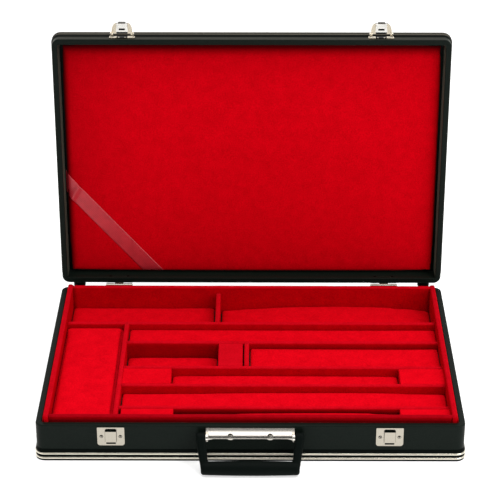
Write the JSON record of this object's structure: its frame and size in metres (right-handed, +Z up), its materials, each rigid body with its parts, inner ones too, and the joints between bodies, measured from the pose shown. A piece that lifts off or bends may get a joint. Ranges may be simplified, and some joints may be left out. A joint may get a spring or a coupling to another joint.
{
  "type": "recorder case",
  "caption": "Black vinyl carrying case with a hinged lid, snap latches and a bail handle, its inside lined in red velvet with fitted compartments for a set of recorders.",
  "frame": {"origin": "centre of the base's underside", "axes": "+X to the right seen from the handle side, +Y towards the hinges, +Z up"},
  "size_m": [0.5246, 0.4377, 0.4239],
  "materials": {
    "vinyl": "fine-grained vinyl cloth over wood",
    "trim": "smooth extruded vinyl",
    "bead": "bright metallised bead",
    "velvet": "short-pile velvet",
    "packing": "bare softwood and fibreboard",
    "ribbon": "satin ribbon",
    "chrome": "polished nickel plate",
    "handle": "satin moulded plastic",
    "feet": "satin moulded plastic"
  },
  "bodies": {
    "base": {"base_band": "vinyl", "base_panel": "vinyl", "base_trim": "trim", "base_beads": "bead", "liner_front": "velvet", "liner_back": "velvet", "liner_left": "velvet", "liner_right": "velvet", "side_divider": "velvet", "row_divider_1": "velvet", "row_divider_2": "velvet", "row_divider_3": "velvet", "row_divider_4": "velvet", "row_divider_5": "velvet", "back_divider": "velvet", "trough_divider": "velvet", "box_block": "velvet", "row3_blocks": "velvet", "row1_blocks": "velvet", "packing_blocks": "packing", "accessory_ledges": "velvet", "pad_back_left": "velvet", "pad_back_right": "velvet", "pad_row5": "velvet", "pad_box": "velvet", "pad_trough": "velvet", "pad_row3": "velvet", "pad_row2": "velvet", "pad_row1": "velvet", "pad_accessory": "velvet", "catch_plate_left": "chrome", "catch_plate_right": "chrome", "catch_screws": "chrome", "handle_bracket": "chrome", "handle_screws": "chrome", "handle_pins": "chrome", "hinge_leaves_base": "chrome", "hinge_pins": "chrome", "hinge_rivets_base": "chrome", "rear_feet_base": "feet"},
    "lid": {"lid_band": "vinyl", "lid_panel": "vinyl", "lid_trim": "trim", "lid_beads": "bead", "lid_lining": "velvet", "ribbon": "ribbon", "hinge_leaves_lid": "chrome", "hinge_rivets_lid": "chrome", "rear_feet_lid": "feet", "hasp_plate_left": "chrome", "hasp_plate_right": "chrome", "hasp_screws": "chrome", "hasp_pins": "chrome"},
    "hasp_left_body": {"hasp_left": "chrome"},
    "hasp_right_body": {"hasp_right": "chrome"},
    "handle_body": {"handle": "handle"},
    "accessory_lid_body": {"accessory_lid_board": "velvet", "accessory_lid_pad": "velvet"}
  },
  "joints": [
    {"name": "lid_hinge", "type": "hinge", "parent": "base", "child": "lid", "pos_m": [0, 0.1785, 0.0502], "axis": [-1, 0, 0], "range_deg": [-92.7, 0]},
    {"name": "hasp_left_pivot", "type": "hinge", "parent": "lid", "child": "hasp_left_body", "pos_m": [-0.1685, 0.20478, 0.40786], "axis": [-1, 0, 0], "range_deg": [-95, 0]},
    {"name": "hasp_right_pivot", "type": "hinge", "parent": "lid", "child": "hasp_right_body", "pos_m": [0.1685, 0.20478, 0.40786], "axis": [-1, 0, 0], "range_deg": [-95, 0]},
    {"name": "handle_swing", "type": "hinge", "parent": "base", "child": "handle_body", "pos_m": [0, -0.183, 0.038], "axis": [-1, 0, 0], "range_deg": [0, 128]},
    {"name": "accessory_lid_lift", "type": "slide", "parent": "base", "child": "accessory_lid_body", "axis": [0, 0, 1], "range_m": [0, 0.06]}
  ]
}
